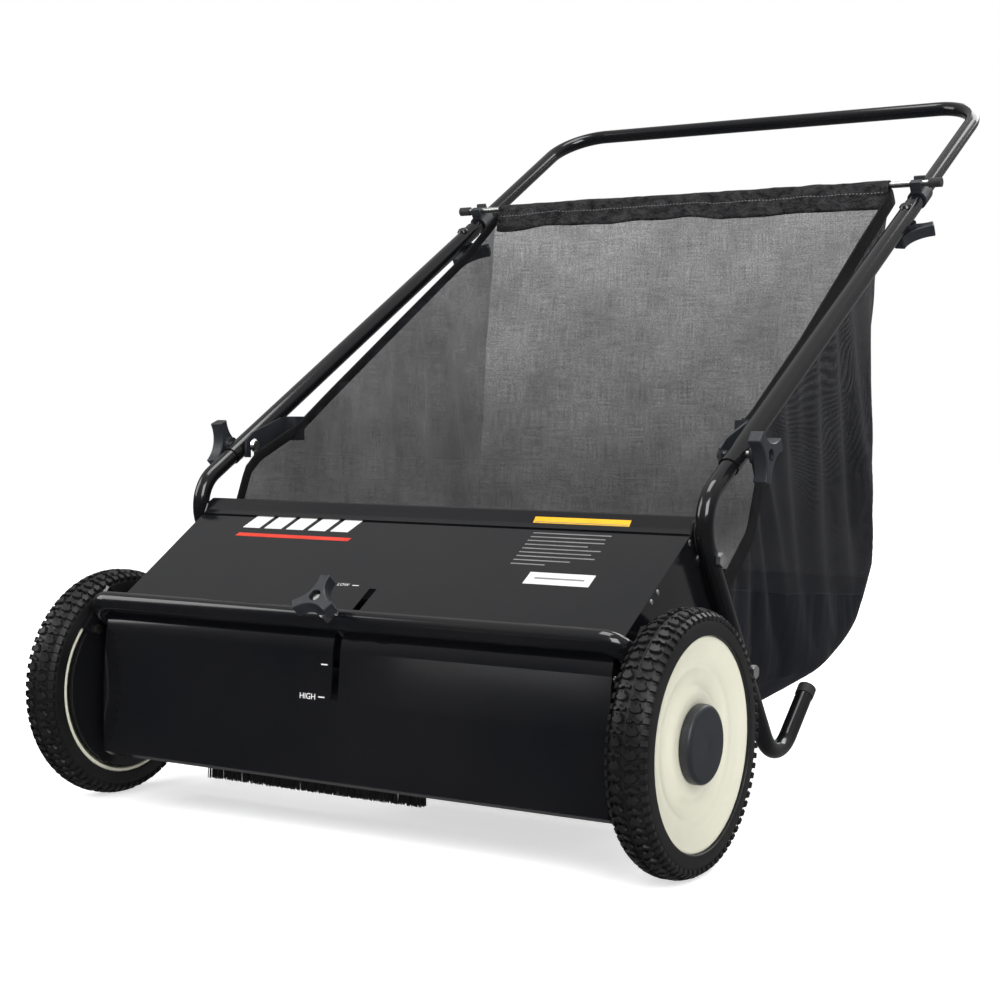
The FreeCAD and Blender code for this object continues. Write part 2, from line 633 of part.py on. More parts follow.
# the left side panel is drawn back below the knee, and the right one reaches forward to the top of the deck
BAG_FRONT_LEFT = [(146.0, 180.0), (172.0, 222.0), (225.0, 262.0), (282.0, 306.0), (303.0, 358.0), (285.0, 392.0),
                  (240.0, 412.0)]
BAG_FRONT_RIGHT = [(142.0, 190.0), (134.0, 262.0), (131.0, 322.0), (150.0, 366.0), (172.0, 384.0), (240.0, 412.0)]


def side_panel(front):
    """A left side panel of the bag: flat, with the back's outline, then front's points, then the hem under the tube."""
    outline = [at(BAG_X - BAG_T, p) for p in BAG_BACK]
    edges = rounded_edges(outline, BAG_BACK_BENDS)
    rest = [outline[-1]] + [at(BAG_X - BAG_T, p) for p in front] + [outline[0]]
    edges += [Part.LineSegment(a, b).toShape() for a, b in zip(rest, rest[1:])]
    return Part.Face(Part.Wire(Part.sortEdges(edges)[0])).extrude(V(BAG_T, 0, 0))


def make_bag():
    """Two side panels and one long panel that is both the back and the floor. The top and front are open."""
    long_panel = folded_sheet(BAG_BACK[::-1], BAG_BACK_BENDS[::-1], BAG_T, -BAG_X, BAG_X)
    rod = along_handle(ROD_AT, ROD_OVER)
    sleeve = ring_bar(-BAG_X + 8, BAG_X - 8, rod, ROD_R + 4, ROD_R)
    solid = fused([long_panel, side_panel(BAG_FRONT_LEFT), mirrored(side_panel(BAG_FRONT_RIGHT)), sleeve])
    save("bag", solid.cut(round_bar(-BAG_X, BAG_X, rod, ROD_R)))
    save("bag_rod", round_bar(-ROD_END_X + 4, ROD_END_X - 4, rod, ROD_R))
    cap = round_bar(ROD_END_X - 16, ROD_END_X, rod, 6.0).cut(
        round_bar(ROD_END_X - 17, ROD_END_X - 4, rod, ROD_R))
    save("rod_caps", Part.makeCompound([cap, mirrored(cap)]))
    save_pair("bag_tab", bag_tab())


TAB_OUTLINE = [(172.0, 377.0), (173.0, 398.0), (186.0, 407.0), (240.0, 424.0), (264.0, 425.0), (264.0, 398.0),
               (246.0, 398.0), (215.0, 385.0), (198.0, 376.0)]
TAB_FOOT = [(246.0, 396.0), (264.0, 396.0), (264.0, 425.0), (246.0, 425.0)]


def bag_tab():
    """A hanger plate with an open slot that drops over the lower clamp bolt, inboard of the tube."""
    x1 = TUBE_X - SLEEVE_OD / 2 - 2
    x0 = x1 - 3
    plate = flat_plate(TAB_OUTLINE, x0, x1)
    slot = Part.makeBox(x1 - x0 + 2, 8.6, 40, V(x0 - 1, KNEE[0] - 4.3, KNEE[1] - 40))
    plate = plate.cut(slot)
    plate = plate.cut(round_bar(x0 - 1, x1 + 1, KNEE, 4.3))
    return plate.fuse(flat_plate(TAB_FOOT, BAG_X, x1)).removeSplitter()


def make_rod_clips():
    """Plastic saddles on the upper tubes, each with an open hook that the bag rod drops into."""
    n = handle_normal()
    u = V(0, math.cos(HANDLE_ANGLE), math.sin(HANDLE_ANGLE))
    centre = at(TUBE_X, along_handle(ROD_AT))
    collar = Part.makeCylinder(TUBE_OD / 2 + 3, 26, centre - u * 13, u)
    hook = Part.makeBox(14, 22, 17)
    hook.Placement = FreeCAD.Placement(centre - u * 11 + n * 6 + V(-7, 0, 0),
                                       FreeCAD.Rotation(V(1, 0, 0), math.degrees(HANDLE_ANGLE)))
    clip = collar.fuse(hook)
    clip = clip.cut(Part.makeCylinder(TUBE_OD / 2, 40, centre - u * 20, u))
    rod = along_handle(ROD_AT, ROD_OVER)
    clip = clip.cut(round_bar(TUBE_X - 20, TUBE_X + 20, rod, ROD_R + 0.3))
    mouth = Part.makeBox(40, 8.6, 40, V(TUBE_X - 20, rod[0] - 4.3, rod[1]))
    save_pair("rod_clip", clip.cut(mouth).removeSplitter())


os.makedirs("parts", exist_ok=True)
make_deck()
make_bushes()
make_handle()
make_handle_bolts()
make_knobs()
make_bail()
make_arm_plates()
make_axles()
make_clamp()
make_wheels()
make_gears()
make_brush()
make_bag()
make_rod_clips()
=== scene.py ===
"""Looks of a push lawn sweeper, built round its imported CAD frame.

Lengths are metres in the row frame. The helper mm() takes millimetres from the wheel axle instead: x across the
machine, y backwards from the axle line and z up from the ground.
"""
import json
import math
import random

import bmesh
import bpy
import numpy as np
from mathutils import Matrix, Vector, noise
from mathutils.geometry import delaunay_2d_cdt


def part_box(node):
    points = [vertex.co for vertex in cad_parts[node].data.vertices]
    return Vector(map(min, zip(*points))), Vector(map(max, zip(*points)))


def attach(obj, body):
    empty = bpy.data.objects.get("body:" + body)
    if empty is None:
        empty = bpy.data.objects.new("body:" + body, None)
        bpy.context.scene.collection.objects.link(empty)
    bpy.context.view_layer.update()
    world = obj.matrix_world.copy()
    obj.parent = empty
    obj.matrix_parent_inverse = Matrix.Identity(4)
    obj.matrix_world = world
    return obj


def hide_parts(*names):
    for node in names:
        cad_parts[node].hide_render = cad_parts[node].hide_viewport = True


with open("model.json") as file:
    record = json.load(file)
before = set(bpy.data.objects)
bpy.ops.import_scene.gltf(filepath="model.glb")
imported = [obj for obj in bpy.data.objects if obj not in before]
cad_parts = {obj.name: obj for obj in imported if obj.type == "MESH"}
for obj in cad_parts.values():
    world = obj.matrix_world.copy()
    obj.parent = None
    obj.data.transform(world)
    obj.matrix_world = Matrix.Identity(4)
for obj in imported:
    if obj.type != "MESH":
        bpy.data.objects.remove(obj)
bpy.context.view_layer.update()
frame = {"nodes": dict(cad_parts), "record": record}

tyre_low, tyre_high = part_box("tyre_left")
AXLE = (tyre_low + tyre_high) / 2
shaft_low, shaft_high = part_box("brush_shaft")
BRUSH = (shaft_low + shaft_high) / 2
rod_low, rod_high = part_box("bag_rod")
ROD = (rod_low + rod_high) / 2
SIDES = (("left", 1), ("right", -1))


# ---- helpers ------------------------------------------------------------------------------------------
def mm(x, y, z):
    return Vector((x / 1000, AXLE.y + y / 1000, z / 1000))


def add_mesh(name, points, faces, body, smooth=True):
    """A new object from points and faces, with its normals facing out, riding on a body."""
    mesh = bpy.data.meshes.new(name)
    mesh.from_pydata([tuple(p) for p in points], [], faces)
    return add_object(name, mesh, body, smooth)


def add_object(name, mesh, body, smooth=True):
    made = bmesh.new()
    made.from_mesh(mesh)
    bmesh.ops.remove_doubles(made, verts=made.verts, dist=1e-6)
    bmesh.ops.recalc_face_normals(made, faces=made.faces)
    made.to_mesh(mesh)
    made.free()
    mesh.update()
    for face in mesh.polygons:
        face.use_smooth = smooth
    obj = bpy.data.objects.new(name, mesh)
    bpy.context.scene.collection.objects.link(obj)
    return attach(obj, body)


def paint(obj, *materials):
    obj.data.materials.clear()
    for m in materials:
        obj.data.materials.append(m)


def smooth_by_angle(obj, degrees):
    mesh = obj.data
    mesh.set_sharp_from_angle(angle=math.radians(degrees))
    for face in mesh.polygons:
        face.use_smooth = True


def rounded_path(points, radii, step):
    """Evenly spaced points, about step apart, on a polyline whose inner corners are tangent arcs."""
    dense = [np.array(points[0], float)]
    for before, corner, after, r in zip(points, points[1:], points[2:], radii):
        before, corner, after = (np.array(p, float) for p in (before, corner, after))
        to_corner = (corner - before) / np.linalg.norm(corner - before)
        away = (after - corner) / np.linalg.norm(after - corner)
        turn = math.acos(max(-1.0, min(1.0, float(to_corner @ away))))
        run = min(r * math.tan(turn / 2), np.linalg.norm(corner - before) / 2, np.linalg.norm(after - corner) / 2)
        for i in range(13):
            t = i / 12
            dense.append((1 - t) ** 2 * (corner - to_corner * run) + 2 * t * (1 - t) * corner
                         + t ** 2 * (corner + away * run))
    dense.append(np.array(points[-1], float))
    return resampled(dense, step)


def resampled(points, step):
    points = np.array(points, float)
    along = np.concatenate([[0], np.cumsum(np.linalg.norm(np.diff(points, axis=0), axis=1))])
    count = max(2, int(round(along[-1] / step)) + 1)
    at = np.linspace(0, along[-1], count)
    return np.stack([np.interp(at, along, points[:, k]) for k in range(points.shape[1])], axis=1)


def softened_outline(points, r, steps=3):
    """A closed profile with every corner turned into a small arc."""
    out = []
    n = len(points)
    for i in range(n):
        before, corner, after = (np.array(points[(i + k) % n], float) for k in (-1, 0, 1))
        back, on = before - corner, after - corner
        run = min(r, 0.45 * np.linalg.norm(back), 0.45 * np.linalg.norm(on))
        start = corner + back / np.linalg.norm(back) * run
        end = corner + on / np.linalg.norm(on) * run
        for k in range(steps + 1):
            t = k / steps
            out.append(tuple((1 - t) ** 2 * start + 2 * t * (1 - t) * corner + t ** 2 * end))
    return out


def lathe(name, outline, side, body, segments=160):
    """A closed profile of (x, radius) in millimetres, turned round the wheel axle."""
    points, faces = [], []
    n = len(outline)
    for k in range(segments):
        a = 2 * math.pi * k / segments
        for x, r in outline:
            points.append(AXLE_LINE + Vector((side * x, r * math.sin(a), r * math.cos(a))) / 1000)
    for k in range(segments):
        for i in range(n):
            a, b = k * n + i, k * n + (i + 1) % n
            c, d = ((k + 1) % segments) * n + (i + 1) % n, ((k + 1) % segments) * n + i
            faces.append((a, b, c, d))
    return add_mesh(name, points, faces, body)


AXLE_LINE = Vector((0, AXLE.y, AXLE.z))


def sweep(name, path, section, body, up=None):
    """A closed section of (side, up) in metres, carried along a path of points, with capped ends."""
    path = [Vector(p) for p in path]
    points, faces = [], []
    n = len(section)
    for i, p in enumerate(path):
        ahead = (path[min(i + 1, len(path) - 1)] - path[max(i - 1, 0)]).normalized()
        across = ahead.cross(up[i] if isinstance(up, list) else up).normalized()
        lift = across.cross(ahead)
        points += [p + across * s + lift * u for s, u in section]
    for i in range(len(path) - 1):
        for k in range(n):
            a, b = i * n + k, i * n + (k + 1) % n
            faces.append((a, b, b + n, a + n))
    faces.append(tuple(range(n)))
    faces.append(tuple(range(len(points) - n, len(points))))
    return add_mesh(name, points, faces, body)


def oval(width, thickness, count=12):
    """A flat band's section with round edges."""
    out = []
    for k in range(count):
        a = 2 * math.pi * (k + 0.5) / count
        c, s = math.cos(a), math.sin(a)
        out.append((width / 2 * math.copysign(abs(c) ** 0.5, c), thickness / 2 * math.copysign(abs(s) ** 0.8, s)))
    return out


# ---- materials ----------------------------------------------------------------------------------------
def link(tree, out, into):
    tree.links.new(out, into)


def math_node(tree, kind, first, second=None):
    n = tree.nodes.new("ShaderNodeMath")
    n.operation = kind
    for socket, value in zip(n.inputs, (first, second)):
        if value is None:
            continue
        if isinstance(value, (int, float)):
            socket.default_value = value
        else:
            link(tree, value, socket)
    return n.outputs[0]


def noise_node(tree, where, scale, detail=3.0, roughness=0.5):
    n = tree.nodes.new("ShaderNodeTexNoise")
    n.inputs["Scale"].default_value = scale
    n.inputs["Detail"].default_value = detail
    n.inputs["Roughness"].default_value = roughness
    link(tree, where, n.inputs["Vector"])
    return n.outputs["Fac"]


def spread_node(tree, value, low, high, before=(0.3, 0.7)):
    n = tree.nodes.new("ShaderNodeMapRange")
    n.inputs["From Min"].default_value, n.inputs["From Max"].default_value = before
    n.inputs["To Min"].default_value, n.inputs["To Max"].default_value = low, high
    link(tree, value, n.inputs["Value"])
    return n.outputs["Result"]


def colour_node(tree, value, first, second):
    n = tree.nodes.new("ShaderNodeMix")
    n.data_type = "RGBA"
    n.inputs["A"].default_value = (*first, 1)
    n.inputs["B"].default_value = (*second, 1)
    link(tree, value, n.inputs["Factor"])
    return n.outputs["Result"]


def bump_node(tree, height, strength, distance):
    n = tree.nodes.new("ShaderNodeBump")
    n.inputs["Strength"].default_value = strength
    n.inputs["Distance"].default_value = distance
    link(tree, height, n.inputs["Height"])
    return n.outputs["Normal"]


def vector_node(tree, kind, value, by):
    n = tree.nodes.new("ShaderNodeVectorMath")
    n.operation = kind
    link(tree, value, n.inputs[0])
    n.inputs[1].default_value = by
    return n.outputs[0]


def new_material(name, fixed):
    m = bpy.data.materials.new(name)
    m.use_nodes = True
    bsdf = m.node_tree.nodes["Principled BSDF"]
    for socket, value in fixed.items():
        bsdf.inputs[socket].default_value = value
    return m, m.node_tree, bsdf


def surface(name, colours, rough, patch, grain, bump, **fixed):
    """Colour and roughness drift in soft patches, and a fine grain stands up as bump."""
    m, tree, bsdf = new_material(name, {k.replace("_", " "): v for k, v in fixed.items()})
    where = tree.nodes.new("ShaderNodeTexCoord").outputs["Object"]
    patches = noise_node(tree, where, patch, 4.0, 0.55)
    fine = noise_node(tree, where, grain, 2.0)
    link(tree, colour_node(tree, spread_node(tree, patches, 0.0, 1.0), *colours), bsdf.inputs["Base Color"])
    both = math_node(tree, "ADD", math_node(tree, "MULTIPLY", patches, 0.6), math_node(tree, "MULTIPLY", fine, 0.4))
    link(tree, spread_node(tree, both, *rough), bsdf.inputs["Roughness"])
    link(tree, bump_node(tree, fine, *bump), bsdf.inputs["Normal"])
    return m


def woven(name, colours, period, hole, fade, tub):
    """Plain weave on the UV map "weave", which is in metres.

    hole is the open share of one thread pitch. fade is two values of v and how clear the holes are at each.
    tub is the tilt and the two levels of tilt * u + v between which the mesh turns into closed cloth.
    """
    m, tree, bsdf = new_material(name, {"Sheen Weight": 0.02, "Sheen Roughness": 0.4, "Specular IOR Level": 0.12})
    at = tree.nodes.new("ShaderNodeUVMap")
    at.uv_map = "weave"
    drift = tree.nodes.new("ShaderNodeTexNoise")
    drift.inputs["Scale"].default_value = 60.0
    link(tree, at.outputs["UV"], drift.inputs["Vector"])
    shift = vector_node(tree, "MULTIPLY_ADD", drift.outputs["Color"], (period * 0.35, period * 0.35, 0))
    link(tree, at.outputs["UV"], shift.node.inputs[2])
    split = tree.nodes.new("ShaderNodeSeparateXYZ")
    link(tree, shift, split.inputs[0])
    flat = tree.nodes.new("ShaderNodeSeparateXYZ")
    link(tree, at.outputs["UV"], flat.inputs[0])
    waves, holes = [], []
    for k in range(2):
        slub = noise_node(tree, vector_node(tree, "MULTIPLY", at.outputs["UV"], (1, 30, 0) if k else (30, 1, 0)), 26.0)
        counted = math_node(tree, "MULTIPLY", split.outputs[k], 1 / period)
        near = math_node(tree, "PINGPONG", counted, 0.5)
        thin = math_node(tree, "ADD", near, spread_node(tree, slub, -0.06, 0.06))
        waves.append(math_node(tree, "SINE", math_node(tree, "MULTIPLY", counted, 2 * math.pi)))
        holes.append(spread_node(tree, thin, 1.0, 0.0, (hole / 2 - 0.12, hole / 2 + 0.12)))
    crossing = math_node(tree, "MULTIPLY", waves[0], waves[1])
    patches = noise_node(tree, at.outputs["UV"], 9.0, 4.0, 0.6)
    tone = math_node(tree, "ADD", spread_node(tree, crossing, 0.1, 0.4, (-1.0, 1.0)),
                     spread_node(tree, patches, 0.0, 0.5))
    tilt, low, high = tub
    level = math_node(tree, "ADD", math_node(tree, "MULTIPLY", flat.outputs[0], tilt), flat.outputs[1])
    closed = spread_node(tree, level, 0.0, 1.0, (low, high))
    folds = noise_node(tree, vector_node(tree, "MULTIPLY", at.outputs["UV"], (1, 0.14, 0)), 24.0, 2.0)
    mesh_colour = colour_node(tree, tone, *colours)
    # The closed cloth's colour follows the same fold noise as its bump: painted shade in the fold hollows, painted
    # highlight on the crests.
    tub_fold_shading = colour_node(tree, spread_node(tree, folds, 0.0, 1.0), TUB_FOLD_SHADE, TUB_FOLD_HIGHLIGHT)
    mix = tree.nodes.new("ShaderNodeMix")
    mix.data_type = "RGBA"
    link(tree, closed, mix.inputs["Factor"])
    link(tree, mesh_colour, mix.inputs["A"])
    link(tree, tub_fold_shading, mix.inputs["B"])
    link(tree, mix.outputs["Result"], bsdf.inputs["Base Color"])
    link(tree, spread_node(tree, patches, 0.62, 0.8), bsdf.inputs["Roughness"])
    fold_height = math_node(tree, "MULTIPLY", folds, closed)
    weave_height = math_node(tree, "MULTIPLY", crossing, period * 0.04)
    height = math_node(tree, "ADD", math_node(tree, "MULTIPLY", fold_height, 0.007), weave_height)
    link(tree, bump_node(tree, height, 1.0, 1.0), bsdf.inputs["Normal"])
    open_share = math_node(tree, "MULTIPLY", holes[0], holes[1])
    (near_v, far_v), (near_clear, far_clear) = fade
    see = spread_node(tree, flat.outputs[1], near_clear, far_clear, (near_v, far_v))
    see = math_node(tree, "MULTIPLY", see, spread_node(tree, patches, 0.72, 1.2))
    see = math_node(tree, "MULTIPLY", see, spread_node(tree, noise_node(tree, at.outputs["UV"], 420.0), 0.8, 1.2))
    clear = math_node(tree, "MULTIPLY", open_share, see)
    clear = math_node(tree, "MULTIPLY", clear, math_node(tree, "SUBTRACT", 1.0, closed))
    link(tree, math_node(tree, "SUBTRACT", 1.0, clear), bsdf.inputs["Alpha"])
    return m


BLACK = (0.0042, 0.0046, 0.006)
# Closed cloth colours in the fold hollows and on the fold crests: painted fold shade and painted fold highlight.
TUB_FOLD_SHADE = (0.004, 0.0045, 0.007)
TUB_FOLD_HIGHLIGHT = (0.009, 0.0095, 0.014)
MATERIALS = {
    "deck_paint": surface("deck_paint", (BLACK, (0.0075, 0.0075, 0.0085)), (0.09, 0.14), 6.0, 900.0, (0.01, 0.0002)),
    "tube_paint": surface("tube_paint", (BLACK, (0.007, 0.007, 0.0075)), (0.1, 0.14), 8.0, 300.0, (0.01, 0.00005)),
    "zinc_steel": surface("zinc_steel", ((0.55, 0.55, 0.54), (0.75, 0.75, 0.74)), (0.2, 0.38), 60.0, 1500.0,
                          (0.1, 0.0002), Metallic=1.0),
    "knob_plastic": surface("knob_plastic", ((0.012, 0.0135, 0.017), (0.019, 0.021, 0.026)), (0.36, 0.5), 25.0,
                            2600.0, (0.25, 0.0003)),
    "cap_rubber": surface("cap_rubber", ((0.012, 0.012, 0.012), (0.02, 0.02, 0.02)), (0.5, 0.7), 40.0, 1800.0,
                          (0.3, 0.0003)),
    "tyre_rubber": surface("tyre_rubber", ((0.006, 0.006, 0.0066), (0.012, 0.0118, 0.0125)), (0.36, 0.52), 18.0,
                           1400.0, (0.3, 0.0003), Specular_IOR_Level=0.3),
    "wheel_cream": surface("wheel_cream", ((0.54, 0.53, 0.43), (0.6, 0.59, 0.485)), (0.3, 0.42), 12.0, 1600.0,
                           (0.08, 0.0002)),
    "gear_nylon": surface("gear_nylon", ((0.06, 0.06, 0.06), (0.09, 0.09, 0.09)), (0.4, 0.6), 40.0, 1800.0,
                          (0.2, 0.0003)),
    "brush_plastic": surface("brush_plastic", ((0.02, 0.02, 0.02), (0.035, 0.035, 0.035)), (0.45, 0.6), 30.0,
                             1800.0, (0.2, 0.0003)),
    "bristle": surface("bristle", ((0.008, 0.008, 0.008), (0.02, 0.02, 0.02)), (0.35, 0.6), 160.0, 2500.0,
                       (0.2, 0.0002)),
    "bag_mesh": woven("bag_mesh", ((0.006, 0.006, 0.0065), (0.018, 0.018, 0.019)), 0.0008, 0.56,
                      ((0.0, 0.4), (0.92, 0.2)), (0.0, 0.4885, 0.4895)),
}
SIDE_MESH = woven("side_mesh", ((0.004, 0.0043, 0.006), (0.013, 0.0135, 0.017)), 0.0008, 0.5,
                  ((0.66, 0.26), (0.6, 0.22)), (0.09, 0.2698, 0.2688))
GATHERED = surface("gathered", ((0.008, 0.008, 0.009), (0.042, 0.042, 0.044)), (0.6, 0.8), 85.0, 170.0,
                   (1.0, 0.006), Specular_IOR_Level=0.12)
BINDING = surface("binding", ((0.004, 0.004, 0.005), (0.009, 0.009, 0.01)), (0.6, 0.8), 60.0, 1500.0, (0.6, 0.0006),
                  Specular_IOR_Level=0.12)
THREAD = surface("thread", ((0.25, 0.25, 0.25), (0.4, 0.4, 0.4)), (0.5, 0.7), 80.0, 2500.0, (0.3, 0.0003))
WHITE_PRINT = surface("white_print", ((0.72, 0.72, 0.71), (0.82, 0.82, 0.81)), (0.3, 0.4), 30.0, 1500.0,
                      (0.05, 0.0002))
RED_PRINT = surface("red_print", ((0.62, 0.03, 0.012), (0.72, 0.045, 0.02)), (0.3, 0.4), 30.0, 1500.0,
                    (0.05, 0.0002))
ORANGE_PRINT = surface("orange_print", ((0.86, 0.44, 0.01), (0.95, 0.55, 0.02)), (0.3, 0.4), 30.0, 1500.0,
                       (0.05, 0.0002))
GREY_PRINT = surface("grey_print", ((0.16, 0.16, 0.16), (0.24, 0.24, 0.24)), (0.35, 0.5), 30.0, 1500.0,
                     (0.05, 0.0002))

for entry in frame["record"]["subparts"]:
    paint(frame["nodes"][entry["node"]], MATERIALS[entry["material_slot"]])
paint(frame["nodes"]["upper_knob_bolts"], MATERIALS["tube_paint"])


# ---- tyres and wheel discs ----------------------------------------------------------------------------
TREAD_MID = (tyre_low.x + tyre_high.x) / 2 * 1000
TREAD_HALF = (tyre_high.x - tyre_low.x) / 2 * 1000
TYRE_R = (tyre_high.z - tyre_low.z) / 2 * 1000
GROOVE = 2.4
LUGS = 38
LUG = [(1.9, -1.0), (3.2, -4.3), (8.0, -5.8), (12.8, -4.3), (14.6, -1.0), (12.2, 1.2), (10.9, 4.6), (8.2, 2.2),
       (5.5, 4.6), (4.4, 1.2)]
CHEVRON = [(1.5, 7.0), (4.4, 6.4), (8.2, 8.8), (12.0, 6.4), (15.0, 7.0), (15.0, 9.8), (12.0, 10.0),
           (8.2, 12.6), (4.4, 10.0), (1.5, 9.8)]


def crown(w):
    """The tread's outside radius at w millimetres from the tyre's middle."""
    return float(np.interp(abs(w), (0, 6, TREAD_HALF - 7, TREAD_HALF - 2, TREAD_HALF),
                           (TYRE_R, TYRE_R, TYRE_R - 2.2, TYRE_R - 5.5, TYRE_R - 10)))


def on_tread(side, w, r, angle):
    x = side * (TREAD_MID + w)
    return AXLE_LINE + Vector((x, r * math.sin(angle), r * math.cos(angle))) / 1000


def tread_block(points, faces, side, row, outline, angle):
    """One raised block, with sloped flanks, from its outline of (across, along) in millimetres."""
    middle = np.mean(outline, axis=0)
    first = len(points)
    n = len(outline)
    for share, raised in ((1.0, 0.0), (0.93, 0.8), (0.84, 1.0)):
        for across, along in outline:
            w = row * (middle[0] + (across - middle[0]) * share)
            s = middle[1] + (along - middle[1]) * share
            r = crown(w) - GROOVE - 0.4 + (GROOVE + 0.4) * raised
            points.append(on_tread(side, w, r, angle + s / TYRE_R))
    points.append(on_tread(side, row * middle[0], crown(middle[0]), angle + middle[1] / TYRE_R))
    for ring in (0, 1):
        for k in range(n):
            a, b = first + ring * n + k, first + ring * n + (k + 1) % n
            faces.append((a, b, b + n, a + n))
    for k in range(n):
        faces.append((first + 2 * n + k, first + 2 * n + (k + 1) % n, first + 3 * n))
    faces.append(tuple(first + k for k in range(n)))


def shoulder_tooth(points, faces, side, row, angle):
    """A square tooth that stands out of the tyre's shoulder and fades down its wall."""
    ridge = [(16.2, crown(16.2) - 0.2), (19.0, crown(19.0) + 0.2), (TREAD_HALF - 0.1, TYRE_R - 7.2),
             (TREAD_HALF - 0.2, TYRE_R - 10.5)]
    root = [(15.8, crown(15.8) - GROOVE - 0.5), (18.0, crown(18.0) - GROOVE - 1.5),
            (TREAD_HALF - 1.6, TYRE_R - 9.5), (TREAD_HALF - 0.9, TYRE_R - 11.5)]
    first = len(points)
    for edge in (-3.1, 3.1):
        for w, r in ridge:
            points.append(on_tread(side, row * w, r, angle + edge * 0.86 / TYRE_R))
        for w, r in root:
            points.append(on_tread(side, row * w, r, angle + edge / TYRE_R))
    for k in range(3):
        faces.append((first + k, first + k + 1, first + k + 9, first + k + 8))
        faces.append((first + k + 4, first + k + 5, first + k + 13, first + k + 12))
        faces.append((first + k, first + k + 1, first + k + 5, first + k + 4))
        faces.append((first + k + 8, first + k + 9, first + k + 13, first + k + 12))
    faces.append((first, first + 4, first + 12, first + 8))
    faces.append((first + 3, first + 7, first + 15, first + 11))


def make_wheels():
    half, r = TREAD_HALF, TYRE_R
    wall = [(-half, r - 25), (-half + 0.6, r - 13), (-half + 2.6, r - 9), (-half + 6, r - 6), (-8, r - 3.4),
            (-1.1, r - 3.0), (-0.5, r - 1.9), (0.5, r - 1.9), (1.1, r - 3.0), (8, r - 3.4), (half - 6, r - 6),
            (half - 2.6, r - 9), (half - 0.6, r - 13), (half, r - 25), (half - 2.5, r - 25.6), (half - 6, r - 25),
            (half - 6, r - 27), (-half + 4.5, r - 27), (-half + 4.5, r - 25), (-half + 2.5, r - 25.6)]
    carcass = [(TREAD_MID + w, radius) for w, radius in softened_outline(wall, 1.2)]
    disc = [(343.5, 100), (343.5, 101.7), (341, 101.7), (339.5, 98), (342, 96.5), (366, 96.5), (367, 90),
            (364.2, 80), (364.2, 56), (366, 48), (366, 14), (350, 14), (350, 8.05), (371, 8.05), (371, 42),
            (370.6, 49), (366.4, 55), (365.4, 61), (366.8, 67), (369.6, 72), (369.6, 79), (372.0, 89), (376.2, 97),
            (377.2, 100),
            (376.4, 101.7), (374.5, 101.7), (374.5, 100)]
    cap = [(371, 30), (371, 38), (380.6, 37.6), (383, 34.5), (383, 0.4), (381, 0.4), (381, 30)]
    for name, side in SIDES:
        body = "wheel_" + name
        tyre = lathe("tyre_carcass_" + name, carcass, side, body)
        points, faces = [], []
        for k in range(LUGS):
            angle = 2 * math.pi * k / LUGS
            for row in (1, -1):
                stagger = 0 if row > 0 else math.pi / LUGS
                tread_block(points, faces, side, row, LUG, angle + stagger)
                tread_block(points, faces, side, row, CHEVRON, angle + stagger)
                for half_pitch in (0, math.pi / LUGS):
                    shoulder_tooth(points, faces, side, row, angle + stagger + half_pitch)
        tread = add_mesh("tyre_tread_" + name, points, faces, body)
        smooth_by_angle(tread, 35)
        wheel = lathe("wheel_moulding_" + name, softened_outline(disc, 3.0, 4), side, body)
        hub = lathe("hub_cover_" + name, softened_outline(cap, 2.4, 4), side, body, 96)
        for piece, slot, node in ((tyre, "tyre_rubber", "tyre_"), (tread, "tyre_rubber", None),
                                  (wheel, "wheel_cream", "wheel_disc_"), (hub, "knob_plastic", "hub_cap_")):
            paint(piece, MATERIALS[slot])
            if node:
                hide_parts(node + name)


# ---- brush --------------------------------------------------------------------------------------------
SPLAY_REACH = 0.004


def make_bristles():
    """Four rows of filaments, set close together in tufts, in place of the CAD's solid bars."""
    dice = random.Random(11)
    for row in range(1, 5):
        low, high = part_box("bristle_row_%d" % row)
        out = (low + high) / 2 - BRUSH
        out.x = 0
        reach = max(abs(v) for p in (low - BRUSH, high - BRUSH) for v in (p.y, p.z))
        base = min(abs(v) for p in (low - BRUSH, high - BRUSH) for v in (p.y, p.z) if abs(v) > 0.01)
        out.normalize()
        across = Vector((1, 0, 0)).cross(out)
        points, faces = [], []
        x = low.x + 0.001
        while x < high.x - 0.001:
            tuft = int((x - low.x) / 0.0073)
            lean = 0.0011 * math.sin(tuft * 2.4) + 0.0006 * math.sin(tuft * 0.7)
            for layer in (-0.0024, -0.0008, 0.0008, 0.0024):
                length = reach + SPLAY_REACH - dice.uniform(0.0, 0.0008)
                sway = dice.gauss(0, 0.0006) + lean
                bow = dice.gauss(0, 0.0006)
                filament(points, faces, Vector((x, BRUSH.y, BRUSH.z)), out, across, base, length, layer, sway, bow)
            x += 0.0012 if (x - low.x) % 0.0073 < 0.0062 else 0.0018
        rows = add_mesh("bristles_%d" % row, points, faces, "brush")
        paint(rows, MATERIALS["bristle"])
        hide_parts("bristle_row_%d" % row)


def filament(points, faces, centre, out, across, base, length, layer, sway, bow):
    first = len(points)
    stations = (0.0, 0.45, 0.8, 1.0)
    for t in stations:
        thick = 0.00085 * (1 - 0.2 * t)
        p = centre + out * (base + (length - base) * t) + across * (layer * (1 + t) + bow * t * t)
        p = p + Vector((sway * t * t, 0, 0))
        points += [p + Vector((thick, 0, 0)), p + across * thick, p - Vector((thick, 0, 0)), p - across * thick]
    for k in range(len(stations) - 1):
        for c in range(4):
            a, b = first + 4 * k + c, first + 4 * k + (c + 1) % 4
            faces.append((a, b, b + 4, a + 4))
    faces.append(tuple(first + c for c in range(4)))
    faces.append(tuple(len(points) - 4 + c for c in range(4)))


